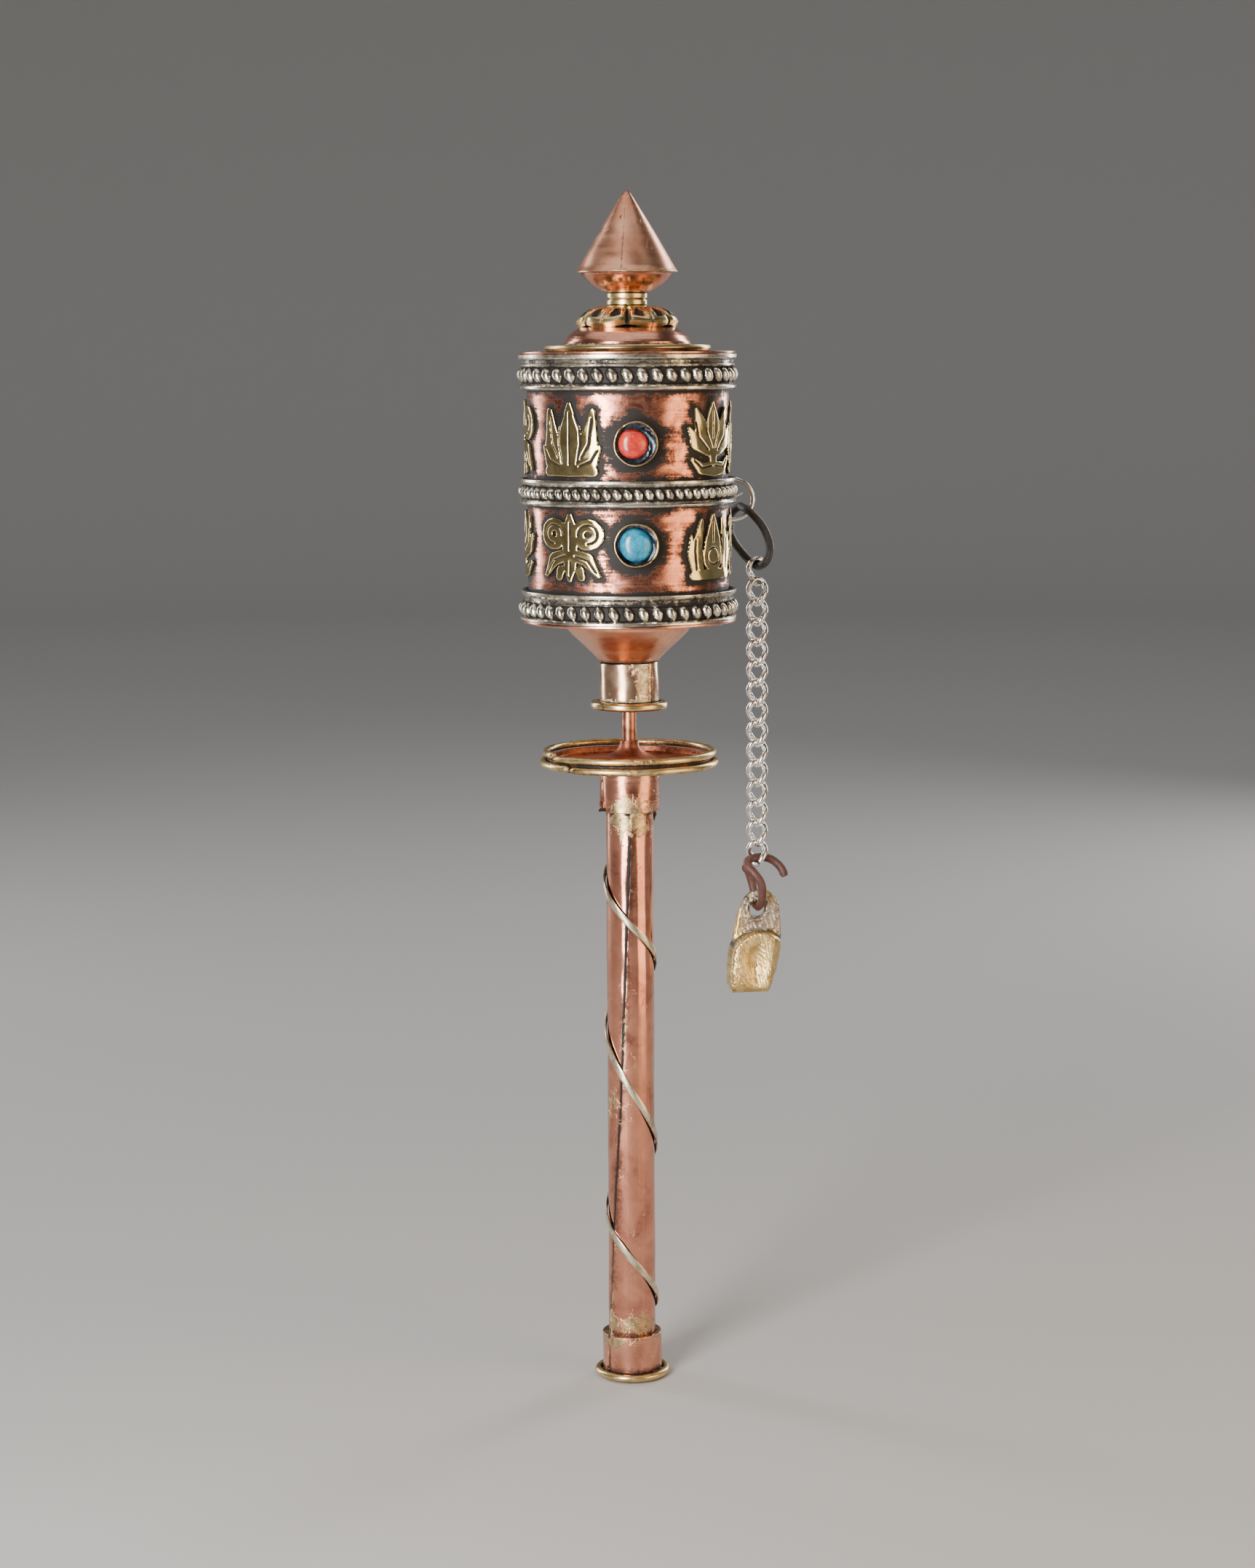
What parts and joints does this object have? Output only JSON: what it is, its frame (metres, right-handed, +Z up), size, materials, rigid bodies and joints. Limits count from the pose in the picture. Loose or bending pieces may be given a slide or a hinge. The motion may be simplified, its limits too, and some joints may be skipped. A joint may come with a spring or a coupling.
{
  "type": "hand-held prayer wheel",
  "caption": "Hand-held prayer wheel: a copper drum with beaded bands and set stones turns on a spindle above a wire-wound handle, with a weighted chain hanging at its side.",
  "frame": {"origin": "centre of the flat bottom face of the handle's end disc", "axes": "+Z up along the spindle, from the handle to the finial; -Y towards the viewer of the front stones; +X towards the side that the chain hangs at"},
  "size_m": [0.0544, 0.0448, 0.24],
  "materials": {
    "copper": "brushed copper sheet with dark patina in the corners",
    "dark_copper": "dulled copper-coloured rod and solder cone",
    "brass": "worn yellow brass, polished on the high places",
    "white_metal": "cast white metal, worn bright with black patina in the hollows",
    "silver": "bright silvery wire",
    "coral": "polished opaque red bead",
    "turquoise": "polished opaque blue bead",
    "black_leather": "black leather cord, scuffed grey",
    "brown_leather": "red-brown leather cord",
    "wood": "plain dowel inside the handle",
    "paper": "rolled paper strip",
    "cast_brass": "rough cast brass, worn grey at the top"
  },
  "bodies": {
    "handle": {"end_disc": "copper", "end_ring": "brass", "lower_ferrule": "copper", "handle_tube": "copper", "handle_core": "wood", "spiral_wire": "white_metal", "upper_ferrule": "copper", "guard_dish": "copper", "guard_ring_lower": "brass", "guard_ring_upper": "brass", "spindle_fillet": "dark_copper", "spindle_rod": "dark_copper", "thrust_collar": "brass"},
    "finial": {"finial_neck": "brass", "finial_bowl": "copper", "finial_cone": "copper"},
    "lid": {"lid_plate": "copper", "lid_disc": "brass", "lid_dome": "copper", "lotus_collar": "brass", "upper_bush": "brass"},
    "drum": {"drum_shell": "copper", "upper_band": "white_metal", "middle_band": "white_metal", "lower_band": "white_metal", "base_plate": "copper", "lower_bowl": "copper", "hub_sleeve": "copper", "hub_washer": "brass", "lower_bush": "brass", "scroll_tube": "brass", "prayer_scroll": "paper", "coral_stone_front": "coral", "coral_stone_back": "coral", "coral_bezel_front": "brass", "coral_bezel_back": "brass", "turquoise_stone_front": "turquoise", "turquoise_stone_back": "turquoise", "turquoise_bezel_front": "brass", "turquoise_bezel_back": "brass", "chain_eye": "silver"},
    "cord_loop": {"cord_loop": "black_leather"},
    "chain_link_01": {"chain_link_01": "silver"},
    "chain_link_02": {"chain_link_02": "silver"},
    "chain_link_03": {"chain_link_03": "silver"},
    "chain_link_04": {"chain_link_04": "silver"},
    "chain_link_05": {"chain_link_05": "silver"},
    "chain_link_06": {"chain_link_06": "silver"},
    "chain_link_07": {"chain_link_07": "silver"},
    "chain_link_08": {"chain_link_08": "silver"},
    "chain_link_09": {"chain_link_09": "silver"},
    "chain_link_10": {"chain_link_10": "silver"},
    "chain_link_11": {"chain_link_11": "silver"},
    "chain_link_12": {"chain_link_12": "silver"},
    "chain_link_13": {"chain_link_13": "silver"},
    "chain_link_14": {"chain_link_14": "silver"},
    "chain_link_15": {"chain_link_15": "silver"},
    "weight_tie": {"weight_tie": "brown_leather"},
    "weight": {"weight": "cast_brass"}
  },
  "joints": [
    {"name": "chain_swing", "type": "hinge", "parent": "drum", "child": "cord_loop", "pos_m": [0.02125, 0.014, 0.1789], "axis": [0, -1, 0], "range_deg": [0, 100]},
    {"name": "drum_spin", "type": "hinge", "parent": "handle", "child": "drum", "pos_m": [0, 0, 0.1381], "axis": [0, 0, 1], "continuous": true},
    {"name": "finial_lift", "type": "slide", "parent": "handle", "child": "finial", "axis": [0, 0, 1], "range_m": [0, 0.06]},
    {"name": "lid_lift", "type": "slide", "parent": "drum", "child": "lid", "axis": [0, 0, 1], "range_m": [0, 0.03]},
    {"name": "link_01_pivot", "type": "hinge", "parent": "cord_loop", "child": "chain_link_01", "pos_m": [0.0261, 0.012, 0.16548], "axis": [0.4177, -0.9086, 0], "range_deg": [-8, 22]},
    {"name": "link_02_pivot", "type": "hinge", "parent": "chain_link_01", "child": "chain_link_02", "pos_m": [0.0261, 0.012, 0.16292], "axis": [0.9086, 0.4177, 0], "range_deg": [-22, 22]},
    {"name": "link_03_pivot", "type": "hinge", "parent": "chain_link_02", "child": "chain_link_03", "pos_m": [0.0261, 0.012, 0.15764], "axis": [-0.4177, 0.9086, 0], "range_deg": [-22, 8]},
    {"name": "link_04_pivot", "type": "hinge", "parent": "chain_link_03", "child": "chain_link_04", "pos_m": [0.0261, 0.012, 0.15466], "axis": [-0.9086, -0.4177, 0], "range_deg": [-22, 22]},
    {"name": "link_05_pivot", "type": "hinge", "parent": "chain_link_04", "child": "chain_link_05", "pos_m": [0.0261, 0.012, 0.14938], "axis": [0.4177, -0.9086, 0], "range_deg": [-8, 22]},
    {"name": "link_06_pivot", "type": "hinge", "parent": "chain_link_05", "child": "chain_link_06", "pos_m": [0.0261, 0.012, 0.1464], "axis": [0.9086, 0.4177, 0], "range_deg": [-22, 22]},
    {"name": "link_07_pivot", "type": "hinge", "parent": "chain_link_06", "child": "chain_link_07", "pos_m": [0.0261, 0.012, 0.14112], "axis": [-0.4177, 0.9086, 0], "range_deg": [-22, 12]},
    {"name": "link_08_pivot", "type": "hinge", "parent": "chain_link_07", "child": "chain_link_08", "pos_m": [0.0261, 0.012, 0.13814], "axis": [-0.9086, -0.4177, 0], "range_deg": [-22, 22]},
    {"name": "link_09_pivot", "type": "hinge", "parent": "chain_link_08", "child": "chain_link_09", "pos_m": [0.0261, 0.012, 0.13286], "axis": [0.4177, -0.9086, 0], "range_deg": [-15, 22]},
    {"name": "link_10_pivot", "type": "hinge", "parent": "chain_link_09", "child": "chain_link_10", "pos_m": [0.0261, 0.012, 0.12988], "axis": [0.9086, 0.4177, 0], "range_deg": [-22, 22]},
    {"name": "link_11_pivot", "type": "hinge", "parent": "chain_link_10", "child": "chain_link_11", "pos_m": [0.0261, 0.012, 0.1246], "axis": [-0.4177, 0.9086, 0], "range_deg": [-22, 16]},
    {"name": "link_12_pivot", "type": "hinge", "parent": "chain_link_11", "child": "chain_link_12", "pos_m": [0.0261, 0.012, 0.12162], "axis": [-0.9086, -0.4177, 0], "range_deg": [-22, 22]},
    {"name": "link_13_pivot", "type": "hinge", "parent": "chain_link_12", "child": "chain_link_13", "pos_m": [0.0261, 0.012, 0.11634], "axis": [0.4177, -0.9086, 0], "range_deg": [-20, 22]},
    {"name": "link_14_pivot", "type": "hinge", "parent": "chain_link_13", "child": "chain_link_14", "pos_m": [0.0261, 0.012, 0.11336], "axis": [0.9086, 0.4177, 0], "range_deg": [-22, 22]},
    {"name": "link_15_pivot", "type": "hinge", "parent": "chain_link_14", "child": "chain_link_15", "pos_m": [0.0261, 0.012, 0.10808], "axis": [-0.4177, 0.9086, 0], "range_deg": [-22, 22]},
    {"name": "tie_pivot", "type": "hinge", "parent": "chain_link_15", "child": "weight_tie", "pos_m": [0.0261, 0.012, 0.1055], "axis": [0.9086, 0.4177, 0], "range_deg": [-15, 15]},
    {"name": "weight_pivot", "type": "hinge", "parent": "weight_tie", "child": "weight", "pos_m": [0.0261, 0.012, 0.09547], "axis": [-0.1392, 0.9903, 0], "range_deg": [-25, 25]}
  ],
  "couplings": [
    {"joint": "lid_lift", "follows": "finial_lift", "ratio": 0.5}
  ]
}
